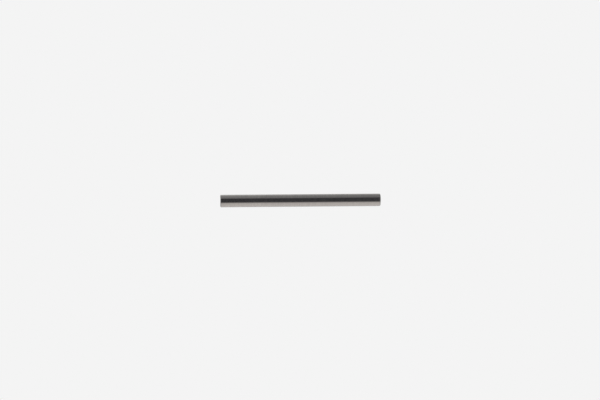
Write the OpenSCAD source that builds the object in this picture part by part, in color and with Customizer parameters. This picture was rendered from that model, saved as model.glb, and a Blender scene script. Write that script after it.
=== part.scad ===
// Pressure pin: one plain steel pin, ground round along its whole length,
// with square flat ends whose edges are chamfered and softened by tumbling.
// The pin stands on its foot: the centre of the lower end face is the origin,
// and the axis runs up along +Z.

/* [Pin] */
// Diameter of the ground shank
pin_diameter = 3; // [1.5:0.5:12]
// Length over the two flat ends
pin_length = 39; // [10:1:120]

/* [Edges] */
// Width and height of the 45 degree chamfer at each end
edge_chamfer = 0.15; // [0.1:0.05:0.4]
// Radius that tumbling leaves where the chamfer meets the end face and the shank
edge_radius = 0.05; // [0.02:0.01:0.1]

/* [Hidden] */

pin_radius = pin_diameter / 2;

// The chamfer lies at this angle, so each softened edge turns by as much
chamfer_angle = 45;
// Distance from a sharp corner to where its softened edge begins, along either face
edge_run = edge_radius * tan(chamfer_angle / 2);
// Radius of the flat part of each end face
face_radius = pin_radius - edge_chamfer - edge_run;
// Distance from an end face to the straight wall of the shank
wall_start = edge_chamfer + edge_run;
// Straight steps in each softened edge
edge_steps = 4;

// Points on an arc of the softened edge's radius, from one direction to another
function edge_arc(centre, from, to) = [
    for (i = [0 : edge_steps])
        let (angle = from + (to - from) * i / edge_steps)
        centre + edge_radius * [cos(angle), sin(angle)]
];

// One end as [radius, height]: the edge of the flat face, the chamfer between
// its two softened edges, and the start of the wall
function foot_outline() = concat(
    edge_arc([face_radius, edge_radius], -90, chamfer_angle - 90),
    edge_arc([pin_radius - edge_radius, wall_start], chamfer_angle - 90, 0)
);

// The same outline at the other end, listed from the wall to the flat face
function top_outline() =
    let (foot = foot_outline(), last = len(foot) - 1)
    [for (i = [last : -1 : 0]) [foot[i].x, pin_length - foot[i].y]];

// The whole pin, turned round its axis
module pin() {
    color("#8F8D8B")
        rotate_extrude($fn = 96)
            polygon(concat([[0, 0]], foot_outline(), top_outline(), [[0, pin_length]]));
}

pin();
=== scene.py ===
"""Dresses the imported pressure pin: one ground steel pin, stood on its end in a pale studio."""

import logging
import math
from dataclasses import dataclass
from enum import Enum
from typing import Any

import bpy
from mathutils import Matrix, Vector


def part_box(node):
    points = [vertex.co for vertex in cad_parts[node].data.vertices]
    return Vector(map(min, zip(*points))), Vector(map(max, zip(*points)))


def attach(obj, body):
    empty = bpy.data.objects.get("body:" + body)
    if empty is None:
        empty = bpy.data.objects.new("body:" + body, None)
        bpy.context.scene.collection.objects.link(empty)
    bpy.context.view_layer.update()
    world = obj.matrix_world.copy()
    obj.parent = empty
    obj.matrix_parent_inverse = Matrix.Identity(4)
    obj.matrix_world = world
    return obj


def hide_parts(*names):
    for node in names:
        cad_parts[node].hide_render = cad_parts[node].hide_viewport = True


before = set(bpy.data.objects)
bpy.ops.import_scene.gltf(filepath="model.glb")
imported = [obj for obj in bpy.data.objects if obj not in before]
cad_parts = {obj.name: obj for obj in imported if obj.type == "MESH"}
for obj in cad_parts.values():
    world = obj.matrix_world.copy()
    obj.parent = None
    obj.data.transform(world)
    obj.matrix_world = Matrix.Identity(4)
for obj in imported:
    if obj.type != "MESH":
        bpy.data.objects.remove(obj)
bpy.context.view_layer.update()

log = logging.getLogger("pressure_pin")

MM = 0.001
# The picture that the camera is set for, in pixels
PICTURE_WIDTH_PX = 600
PICTURE_HEIGHT_PX = 400
# How far a chamfer leans in from the wall
CHAMFER_DEG = 45.0
# Points of the mesh that lie closer together than this are made one
WELD_GAP = 0.001 * MM
# Sockets of a Mix node that mixes colours: its share, its two colours and its result
MIX_SHARE, MIX_FIRST, MIX_SECOND, MIX_RESULT = 0, 6, 7, 2


def linear_rgba(srgb_hex: str) -> tuple[float, float, float, float]:
    """Turns an sRGB hex colour to the linear values that shaders take.

    Args:
        srgb_hex: The colour, such as "#C1BEBB", or with its opacity last, such as "#C1BEBB80".

    Returns:
        Linear red, green and blue, and the opacity, which is 1 if none is given.
    """
    channels = [int(srgb_hex[i:i + 2], 16) / 255 for i in (1, 3, 5)]
    linear = [c / 12.92 if c <= 0.04045 else ((c + 0.055) / 1.055) ** 2.4 for c in channels]
    return (*linear, int(srgb_hex[7:] or "FF", 16) / 255)


def add_node(
    tree: bpy.types.NodeTree,
    kind: str,
    inputs: dict[str | int, Any] | None = None,
    **settings: Any,
) -> bpy.types.Node:
    """Adds a node to a tree, with its settings, values and links.

    Args:
        tree: The node tree that gets the node.
        kind: The node's type, such as "ShaderNodeMath".
        inputs: The name or index of each input that is set, and what feeds it: a value, a socket,
            or a node, which stands for its first output.
        settings: The node's own properties.

    Returns:
        The new node.
    """
    node = tree.nodes.new(kind)
    for name, value in settings.items():
        setattr(node, name, value)
    for key, value in (inputs or {}).items():
        if isinstance(value, bpy.types.Node):
            value = value.outputs[0]
        if isinstance(value, bpy.types.NodeSocket):
            tree.links.new(value, node.inputs[key])
        else:
            node.inputs[key].default_value = value
    return node


class Lines(Enum):
    """Which way a tool's fine lines follow one another. They always run round the pin's axis."""

    UP_THE_WALL = "one above the other"
    ACROSS_THE_END = "one inside the other"


@dataclass(frozen=True)
class CutSteel:
    """Bare steel as a wheel or a lathe tool leaves it: bright, with fine lines round the axis."""

    name: str
    lines: Lines
    # Colours of the steel where it is brightest and where it is dullest
    bright_hex: str
    dull_hex: str
    # Roughness, how far it strays from line to line, and how much the lines draw out a highlight
    roughness: float
    roughness_spread: float
    anisotropy: float
    # Spacing of the lines, their length round the pin, and their depth
    line_pitch_mm: float
    line_run_mm: float
    line_depth_mm: float
    # Size of the clouds where the finish is a little duller
    cloud_mm: float

    def build(self) -> bpy.types.Material:
        """Makes the material.

        Returns:
            The material, with its patterns laid by the place on the pin.
        """
        material = bpy.data.materials.new(self.name)
        material.use_nodes = True
        tree = material.node_tree
        tree.nodes.clear()
        place = add_node(tree, "ShaderNodeTexCoord").outputs["Object"]
        lines = self.line_pattern(tree, place)
        clouds = self.cloud_pattern(tree, place)

        # Lines and clouds count the same in how dull the steel is
        dullness = add_node(tree, "ShaderNodeMix", {"Factor": 0.5, "A": lines, "B": clouds})
        tint = add_node(tree, "ShaderNodeMix", {
            MIX_SHARE: dullness,
            MIX_FIRST: linear_rgba(self.bright_hex),
            MIX_SECOND: linear_rgba(self.dull_hex),
        }, data_type="RGBA")
        roughness = add_node(tree, "ShaderNodeMapRange", {
            "Value": lines,
            "To Min": self.roughness - self.roughness_spread,
            "To Max": self.roughness + self.roughness_spread,
        })
        relief = add_node(
            tree, "ShaderNodeBump", {"Distance": self.line_depth_mm * MM, "Height": lines})
        round_the_axis = add_node(tree, "ShaderNodeTangent", direction_type="RADIAL", axis="Z")
        shader = add_node(tree, "ShaderNodeBsdfPrincipled", {
            "Base Color": tint.outputs[MIX_RESULT],
            "Metallic": 1.0,
            "Roughness": roughness,
            "Normal": relief,
            "Anisotropic": self.anisotropy,
            # The lines run round the axis, so a highlight is drawn out across them
            "Anisotropic Rotation": 0.25,
            "Tangent": round_the_axis,
        })
        add_node(tree, "ShaderNodeOutputMaterial", {"Surface": shader})
        return material

    def line_pattern(self, tree: bpy.types.NodeTree, place: bpy.types.NodeSocket) -> bpy.types.Node:
        """Draws the tool's lines as noise that changes fast from line to line and slowly along each.

        Args:
            tree: The material's tree.
            place: The socket with the place on the pin, in metres.

        Returns:
            A node that gives 0 to 1.
        """
        run = self.line_run_mm * MM
        pitch = self.line_pitch_mm * MM
        if self.lines is Lines.ACROSS_THE_END:
            off_axis = add_node(
                tree, "ShaderNodeVectorMath", {0: place, 1: (1.0, 1.0, 0.0)}, operation="MULTIPLY")
            radius = add_node(tree, "ShaderNodeVectorMath", {0: off_axis}, operation="LENGTH")
            x, y, _ = add_node(tree, "ShaderNodeSeparateXYZ", {0: place}).outputs
            place = add_node(
                tree, "ShaderNodeCombineXYZ", {"X": x, "Y": y, "Z": radius.outputs["Value"]})
        stretched = add_node(
            tree, "ShaderNodeVectorMath", {0: place, 1: (run, run, pitch)}, operation="DIVIDE")
        return self.even_noise(tree, stretched.outputs["Vector"], scale=1.0, detail=3.0)

    def cloud_pattern(self, tree: bpy.types.NodeTree, place: bpy.types.NodeSocket) -> bpy.types.Node:
        """Draws the soft clouds that a film of oil leaves, as a node that gives 0 to 1."""
        return self.even_noise(tree, place, scale=1 / (self.cloud_mm * MM), detail=2.0)

    def even_noise(
        self,
        tree: bpy.types.NodeTree,
        place: bpy.types.NodeSocket,
        scale: float,
        detail: float,
    ) -> bpy.types.Node:
        """Draws noise that uses its whole range.

        Args:
            tree: The material's tree.
            place: The socket with the place that the noise is read at.
            scale: How many of the noise's largest spots fit in a unit of that place.
            detail: How many times finer spots are laid over them.

        Returns:
            A node that gives 0 to 1.
        """
        noise = add_node(tree, "ShaderNodeTexNoise", {
            "Vector": place, "Scale": scale, "Detail": detail, "Roughness": 0.6})
        # Plain noise keeps near its middle, so that part is stretched
        return add_node(
            tree, "ShaderNodeMapRange", {"Value": noise, "From Min": 0.3, "From Max": 0.7})


# A grinding wheel's finish on the wall: bright and smooth, so that the studio shows in it as clean
# bands along the pin, a little blurred. The real lines are some 0.02 mm apart; they are drawn
# coarser so that they just show close by.
GROUND_WALL = CutSteel(
    name="centreless_ground_steel",
    lines=Lines.UP_THE_WALL,
    bright_hex="#C7C4C0",
    dull_hex="#B8B5B2",
    roughness=0.2,
    roughness_spread=0.05,
    anisotropy=0.4,
    line_pitch_mm=0.28,
    line_run_mm=4.0,
    line_depth_mm=0.0012,
    cloud_mm=6.0,
)

# Hardened and tumbled steel on the ends and chamfers, which the grinding wheel doesn't reach: a
# duller and darker grey than the wall, with the lathe tool's rings still showing through. The
# real rings are some 0.03 mm apart, and are drawn coarser too.
TUMBLED_END = CutSteel(
    name="tumbled_hardened_steel",
    lines=Lines.ACROSS_THE_END,
    bright_hex="#B6B3B0",
    dull_hex="#999794",
    roughness=0.34,
    roughness_spread=0.06,
    anisotropy=0.4,
    line_pitch_mm=0.16,
    line_run_mm=4.0,
    line_depth_mm=0.003,
    cloud_mm=0.9,
)


@dataclass
class PressurePin:
    """The pin itself: a round bar with flat ends, each chamfered and softened at its edge."""

    radius: float
    length: float
    wall_finish: CutSteel = GROUND_WALL
    end_finish: CutSteel = TUMBLED_END
    # Width and height of each chamfer, and the radius that tumbling leaves along its two edges
    chamfer: float = 0.15 * MM
    edge_radius: float = 0.05 * MM
    # Straight steps in each softened edge, and facets round the pin
    edge_steps: int = 6
    facets: int = 256

    @classmethod
    def from_node(cls, node: str) -> "PressurePin":
        """Gives a pin with the radius and length of a CAD node."""
        low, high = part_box(node)
        return cls(radius=(high.x - low.x) / 2, length=high.z - low.z)

    def build(self, name: str) -> bpy.types.Object:
        """Turns the pin's outline round its axis and gives the mesh its finishes.

        Args:
            name: The piece's name.

        Returns:
            The finished piece, standing on the origin.
        """
        holder = bpy.data.objects.new(name + "_maker", bpy.data.meshes.new(name + "_maker"))
        bpy.context.scene.collection.objects.link(holder)
        tree = self.turning_tree()
        turning = holder.modifiers.new("turning", "NODES")
        turning.node_group = tree
        values = {
            "Radius": self.radius,
            "Length": self.length,
            "Chamfer": self.chamfer,
            "Edge Radius": self.edge_radius,
            "Edge Steps": self.edge_steps,
            "Facets": self.facets,
            "Wall Finish": self.wall_finish.build(),
            "End Finish": self.end_finish.build(),
        }
        for item in tree.interface.items_tree:
            if item.name in values:
                turning[item.identifier] = values[item.name]
        # Large faces set the normals at the narrow ones beside them, so flats and wall stay true
        holder.modifiers.new("true_flats", "WEIGHTED_NORMAL").keep_sharp = True

        turned = holder.evaluated_get(bpy.context.evaluated_depsgraph_get())
        mesh = bpy.data.meshes.new_from_object(turned)
        bpy.data.objects.remove(holder)
        mesh.name = name
        # The bare grid's slot, which no face wears any more
        mesh.materials.pop(index=0)
        pin = bpy.data.objects.new(name, mesh)
        bpy.context.scene.collection.objects.link(pin)
        return pin

    def turning_tree(self) -> bpy.types.NodeTree:
        """Makes the Geometry Nodes that turn the outline round the axis.

        Returns:
            The tree, with the pin's sizes and finishes as inputs.
        """
        tree = bpy.data.node_groups.new("turned_pin", "GeometryNodeTree")
        for socket_name in ("Radius", "Length", "Chamfer", "Edge Radius"):
            tree.interface.new_socket(socket_name, in_out="INPUT", socket_type="NodeSocketFloat")
        for socket_name in ("Edge Steps", "Facets"):
            tree.interface.new_socket(socket_name, in_out="INPUT", socket_type="NodeSocketInt")
        for socket_name in ("Wall Finish", "End Finish"):
            tree.interface.new_socket(socket_name, in_out="INPUT", socket_type="NodeSocketMaterial")
        tree.interface.new_socket("Pin", in_out="OUTPUT", socket_type="NodeSocketGeometry")
        sizes = add_node(tree, "NodeGroupInput").outputs

        outline = self.outline(tree, sizes)
        turned = self.turn(tree, sizes, outline)
        welded = add_node(tree, "GeometryNodeMergeByDistance", {0: turned, "Distance": WELD_GAP})
        smooth = add_node(tree, "GeometryNodeSetShadeSmooth", {0: welded})
        real = add_node(tree, "GeometryNodeRealizeInstances", {0: smooth})
        ground = add_node(
            tree, "GeometryNodeSetMaterial", {0: real, "Material": sizes["Wall Finish"]})
        # The wheel misses what faces up or down more steeply than halfway to the chamfer
        facing = add_node(tree, "GeometryNodeInputNormal")
        tilt = add_node(tree, "ShaderNodeSeparateXYZ", {0: facing}).outputs["Z"]
        steep = add_node(tree, "ShaderNodeMath", {0: tilt}, operation="ABSOLUTE")
        is_end = add_node(
            tree, "ShaderNodeMath", {0: steep, 1: math.sin(math.radians(CHAMFER_DEG / 2))},
            operation="GREATER_THAN")
        finished = add_node(tree, "GeometryNodeSetMaterial", {
            0: ground, "Selection": is_end, "Material": sizes["End Finish"]})
        add_node(tree, "NodeGroupOutput", {"Pin": finished})
        return tree

    def outline(self, tree: bpy.types.NodeTree, sizes: bpy.types.NodeOutputs) -> bpy.types.Node:
        """Draws half the pin's section, from the axis at the foot, up the wall, to the axis at the top.

        Args:
            tree: The pin's tree.
            sizes: The tree's inputs.

        Returns:
            The node that gives the curve, with its radius along X and its height along Z.
        """
        foot_rim = add_node(tree, "ShaderNodeCombineXYZ", {"X": sizes["Radius"]})
        top_rim = add_node(tree, "ShaderNodeCombineXYZ", {"X": sizes["Radius"], "Z": sizes["Length"]})
        top_centre = add_node(tree, "ShaderNodeCombineXYZ", {"Z": sizes["Length"]})
        loop = add_node(tree, "GeometryNodeCurvePrimitiveQuadrilateral", {
            "Point 1": (0.0, 0.0, 0.0),
            "Point 2": foot_rim,
            "Point 3": top_rim,
            "Point 4": top_centre,
        }, mode="POINTS")
        sharp = add_node(tree, "GeometryNodeSetSplineCyclic", {0: loop, "Cyclic": False})
        # A corner cut in one step is a chamfer, and each chamfer's own edges are rounded in several
        chamfered = add_node(tree, "GeometryNodeFilletCurve", {
            0: sharp, "Count": 1, "Radius": sizes["Chamfer"]}, mode="POLY")
        return add_node(tree, "GeometryNodeFilletCurve", {
            0: chamfered, "Count": sizes["Edge Steps"], "Radius": sizes["Edge Radius"]}, mode="POLY")

    def turn(
        self,
        tree: bpy.types.NodeTree,
        sizes: bpy.types.NodeOutputs,
        outline: bpy.types.Node,
    ) -> bpy.types.Node:
        """Bends a flat grid round the axis, so that each column of it is the outline.

        The grid's map is kept: round the pin across it, and along the outline up it.

        Args:
            tree: The pin's tree.
            sizes: The tree's inputs.
            outline: The node that gives the curve to turn.

        Returns:
            The node that gives the turned mesh, open at its seam.
        """
        outline_size = add_node(
            tree, "GeometryNodeAttributeDomainSize", {0: outline}, component="CURVE")
        rows = outline_size.outputs["Point Count"]
        columns = add_node(tree, "ShaderNodeMath", {0: sizes["Facets"], 1: 1.0}, operation="ADD")
        # The grid is a whole turn wide in radians, so that a point's place across it is its angle
        grid = add_node(tree, "GeometryNodeMeshGrid", {
            "Size X": math.tau, "Vertices X": columns, "Vertices Y": rows})
        index = add_node(tree, "GeometryNodeInputIndex")
        row = add_node(tree, "ShaderNodeMath", {0: index, 1: rows}, operation="MODULO")

        fraction = add_node(tree, "GeometryNodeSplineParameter")
        along = add_node(
            tree, "GeometryNodeSampleIndex", {"Geometry": outline, "Value": fraction, "Index": row})
        up = add_node(tree, "GeometryNodeFieldOnDomain", {0: along}, domain="POINT")
        across = add_node(tree, "ShaderNodeSeparateXYZ", {0: grid.outputs["UV Map"]}).outputs["X"]
        spot = add_node(tree, "ShaderNodeCombineXYZ", {"X": across, "Y": up})
        mapped = add_node(tree, "GeometryNodeStoreNamedAttribute", {
            0: grid, "Name": "OFBake", "Value": spot}, data_type="FLOAT2", domain="CORNER")

        here = add_node(tree, "GeometryNodeInputPosition")
        angle = add_node(tree, "ShaderNodeSeparateXYZ", {0: here}).outputs["X"]
        section = add_node(
            tree, "GeometryNodeSampleIndex", {"Geometry": outline, "Value": here, "Index": row},
            data_type="FLOAT_VECTOR")
        turned = add_node(tree, "ShaderNodeVectorRotate", {
            "Vector": section, "Angle": angle}, rotation_type="Z_AXIS")
        return add_node(tree, "GeometryNodeSetPosition", {0: mapped, "Position": turned})


# Colours round about: a bearing in degrees, 0 towards the camera and 90 towards +X, and the colour
Ring = tuple[tuple[float, str], ...]


@dataclass(frozen=True)
class Layer:
    """Part of the surround, with a ring of colours that takes over with height."""

    # Angles from level, negative below it, at which the layer begins and has taken over
    begin_deg: float
    full_deg: float
    colours: Ring


@dataclass(frozen=True)
class Studio:
    """A pale studio: a white floor, an even white surround and one soft lamp."""

    # Colour of the floor, and of the backdrop behind it
    floor_hex: str = "#F4F4F4"
    floor_radius: float = 250 * MM
    floor_facets: int = 96
    # The floor lies a hair below the pin's foot
    floor_drop: float = 0.002 * MM
    # How far out polished metal sees the floor: wholly, and not at all
    mirrored_near: float = 0.6 * MM
    mirrored_far: float = 3.0 * MM
    # Strength of the even surround and of the lamp, which add up to 1 on a level surface
    surround_strength: float = 0.8
    lamp_strength: float = 0.2
    lamp_width_deg: float = 40.0
    lamp_tilt_deg: float = 35.0
    lamp_bearing_deg: float = 150.0
    # What polished metal sees level with it. The camera stands before a dark room. One side has a
    # bright white board and the other a grey one, with a dark gap between them at the back.
    level: Ring = (
        (-162.0, "#48484C"),
        (-146.0, "#E0E0DF"),
        (-85.0, "#959597"),
        (-60.0, "#9E9D9F"),
        (-38.0, "#39393D"),
        (25.0, "#39393D"),
        (48.0, "#DDD8D6"),
        (143.0, "#F3F0EF"),
        (157.0, "#48484C"),
    )
    # The grey board grows darker upwards. Higher up hang a white light and a grey board, under a
    # grey ceiling. The ground is pale.
    layers: tuple[Layer, ...] = (
        Layer(-1.0, 18.0, ((-8.0, "#39393D"), (0.0, "#39393D00"))),
        Layer(12.0, 30.0, (
            (-180.0, "#CCCCCA"),
            (-150.0, "#9C9C9A"),
            (-30.0, "#9C9C9A"),
            (30.0, "#F2F2F0"),
            (150.0, "#F2F2F0"),
            (180.0, "#CCCCCA"),
        )),
        Layer(60.0, 76.0, ((0.0, "#868684"),)),
        Layer(-50.0, -80.0, ((0.0, "#D8D8D6"),)),
    )

    def build(self) -> None:
        """Makes the floor, the lamp and the surround."""
        self.build_floor()
        self.build_lamp()
        self.build_surround()

    def build_floor(self) -> None:
        """Lays a round white floor under the pin, which takes its shadow."""
        bpy.ops.mesh.primitive_circle_add(
            vertices=self.floor_facets,
            radius=self.floor_radius,
            fill_type="NGON",
            location=(0.0, 0.0, -self.floor_drop),
        )
        floor = bpy.context.object
        floor.name = "studio_floor"
        card = bpy.data.materials.new("matt_white_card")
        card.use_nodes = True
        tree = card.node_tree
        tree.nodes.clear()
        matt = add_node(tree, "ShaderNodeBsdfPrincipled", {
            "Base Color": linear_rgba(self.floor_hex), "Roughness": 1.0, "Specular IOR Level": 0.0})
        # Polished metal sees the floor close to the pin, and further out the surround's lower half,
        # so that the floor's edge doesn't show in the metal
        place = add_node(tree, "ShaderNodeTexCoord").outputs["Object"]
        reach = add_node(tree, "ShaderNodeVectorMath", {0: place}, operation="LENGTH").outputs["Value"]
        glossy = add_node(tree, "ShaderNodeLightPath").outputs["Is Glossy Ray"]
        gone = add_node(tree, "ShaderNodeMapRange", {
            "Value": reach,
            "From Min": self.mirrored_near,
            "From Max": self.mirrored_far,
            "To Max": glossy,
        }, interpolation_type="SMOOTHSTEP")
        clear = add_node(tree, "ShaderNodeBsdfTransparent")
        surface = add_node(tree, "ShaderNodeMixShader", {0: gone, 1: matt, 2: clear})
        add_node(tree, "ShaderNodeOutputMaterial", {"Surface": surface})
        floor.data.materials.append(card)

    def build_lamp(self) -> None:
        """Hangs one wide soft lamp that gives the floor its gentle shadow."""
        tilt = math.radians(self.lamp_tilt_deg)
        data = bpy.data.lights.new("soft_lamp", "SUN")
        data.angle = math.radians(self.lamp_width_deg)
        data.energy = self.lamp_strength * math.pi / math.cos(tilt)
        lamp = bpy.data.objects.new("soft_lamp", data)
        lamp.rotation_euler = (tilt, 0.0, math.radians(self.lamp_bearing_deg))
        lamp.visible_glossy = False
        bpy.context.scene.collection.objects.link(lamp)

    def build_surround(self) -> None:
        """Makes the world: a pale backdrop to the camera, even light, and a studio for metal."""
        world = bpy.data.worlds.new("studio")
        bpy.context.scene.world = world
        world.use_nodes = True
        tree = world.node_tree
        tree.nodes.clear()
        ray = add_node(tree, "ShaderNodeLightPath").outputs
        even = add_node(tree, "ShaderNodeBackground", {
            "Color": linear_rgba("#FFFFFF"), "Strength": self.surround_strength})
        backdrop = add_node(tree, "ShaderNodeBackground", {"Color": linear_rgba(self.floor_hex)})
        reflected = add_node(tree, "ShaderNodeBackground", {"Color": self.reflected_colour(tree)})
        metal = add_node(
            tree, "ShaderNodeMixShader", {0: ray["Is Glossy Ray"], 1: even, 2: reflected})
        seen = add_node(tree, "ShaderNodeMixShader", {0: ray["Is Camera Ray"], 1: metal, 2: backdrop})
        add_node(tree, "ShaderNodeOutputWorld", {"Surface": seen})

    def reflected_colour(self, tree: bpy.types.NodeTree) -> bpy.types.NodeSocket:
        """Works out what polished metal sees in a direction.

        Args:
            tree: The world's tree.

        Returns:
            The colour's socket.
        """
        way = add_node(tree, "ShaderNodeTexCoord").outputs["Generated"]
        x, y, z = add_node(tree, "ShaderNodeSeparateXYZ", {0: way}).outputs
        nearer = add_node(tree, "ShaderNodeMath", {0: y, 1: -1.0}, operation="MULTIPLY")
        bearing = add_node(tree, "ShaderNodeMath", {0: x, 1: nearer}, operation="ARCTAN2")
        height = add_node(tree, "ShaderNodeMath", {0: z}, operation="ARCSINE")

        colour = self.ring_colours(tree, bearing, self.level).outputs["Color"]
        for layer in self.layers:
            ring = self.ring_colours(tree, bearing, layer.colours)
            share = add_node(tree, "ShaderNodeMapRange", {
                "Value": height,
                "From Min": math.radians(layer.begin_deg),
                "From Max": math.radians(layer.full_deg),
                "To Max": ring.outputs["Alpha"],
            }, interpolation_type="SMOOTHSTEP")
            mixed = add_node(tree, "ShaderNodeMix", {
                MIX_SHARE: share, MIX_FIRST: colour, MIX_SECOND: ring}, data_type="RGBA")
            colour = mixed.outputs[MIX_RESULT]
        return colour

    def ring_colours(
        self,
        tree: bpy.types.NodeTree,
        bearing: bpy.types.Node,
        ring: Ring,
    ) -> bpy.types.Node:
        """Lays a ring's colours round the bearings.

        Args:
            tree: The world's tree.
            bearing: The node that gives the bearing, in radians.
            ring: The colours round about.

        Returns:
            The node that gives the colour and its opacity.
        """
        turn = add_node(tree, "ShaderNodeMapRange", {
            "Value": bearing, "From Min": -math.pi, "From Max": math.pi})
        ramp = add_node(tree, "ShaderNodeValToRGB", {0: turn})
        # A ramp comes with two stops, and needs one for each colour
        stops = ramp.color_ramp.elements
        stops.remove(stops[0])
        for _ in ring[1:]:
            stops.new(0.5)
        for stop, (degrees, colour) in zip(stops, ring):
            stop.position = (degrees + 180) / 360
            stop.color = linear_rgba(colour)
        return ramp


@dataclass(frozen=True)
class SideCamera:
    """A long lens level with the floor, rolled a quarter turn: the pin lies across its picture."""

    lens_mm: float = 100.0
    sensor_mm: float = 36.0
    # Where the pin's middle falls, how long it is and how far it leans in the picture
    middle_px: tuple[float, float] = (300.46, 200.45)
    pin_px: float = 160.25
    lean_deg: float = 0.45
    # The lens is level with the pin's foot, so that the floor is edge on
    height: float = 0.0
    # The nearest and furthest that shows, as shares of the distance to the pin
    nearest: float = 0.01
    furthest: float = 100.0

    def build(self, pin: PressurePin) -> None:
        """Sets the camera up for the pin.

        Args:
            pin: The pin to look at.
        """
        data = bpy.data.cameras.new("side_camera")
        data.lens = self.lens_mm
        data.sensor_width = self.sensor_mm
        picture_width = pin.length * PICTURE_WIDTH_PX / self.pin_px
        distance = picture_width * self.lens_mm / self.sensor_mm
        data.clip_start = distance * self.nearest
        data.clip_end = distance * self.furthest
        camera = bpy.data.objects.new("side_camera", data)
        bpy.context.scene.collection.objects.link(camera)
        bpy.context.scene.camera = camera

        px = picture_width / PICTURE_WIDTH_PX
        stand = Vector((0.0, -distance, self.height))
        middle = Vector((0.0, 0.0, pin.length / 2))
        # The pin's middle is a little off the picture's, so the lens aims as far the other way
        aim = middle - Vector((
            (self.middle_px[1] - PICTURE_HEIGHT_PX / 2) * px,
            0.0,
            (self.middle_px[0] - PICTURE_WIDTH_PX / 2) * px,
        ))
        ahead = (aim - stand).normalized()
        right = (Vector((0, 0, 1)) - ahead * ahead.z).normalized()
        right = Matrix.Rotation(math.radians(self.lean_deg), 3, ahead) @ right
        up = right.cross(ahead)
        place = Matrix((right, up, -ahead)).transposed().to_4x4()
        place.translation = stand
        camera.matrix_world = place


def main() -> None:
    """Builds the pin, the studio and the camera."""
    logging.basicConfig(level=logging.INFO, format="%(name)s: %(message)s")
    pin = PressurePin.from_node("pin")
    piece = pin.build("ground_pin")
    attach(piece, "root")
    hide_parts("pin")
    log.info("%s: %d faces", piece.name, len(piece.data.polygons))
    Studio().build()
    SideCamera().build(pin)
    bpy.context.scene.view_settings.view_transform = "Standard"


if __name__ == "__main__":
    main()
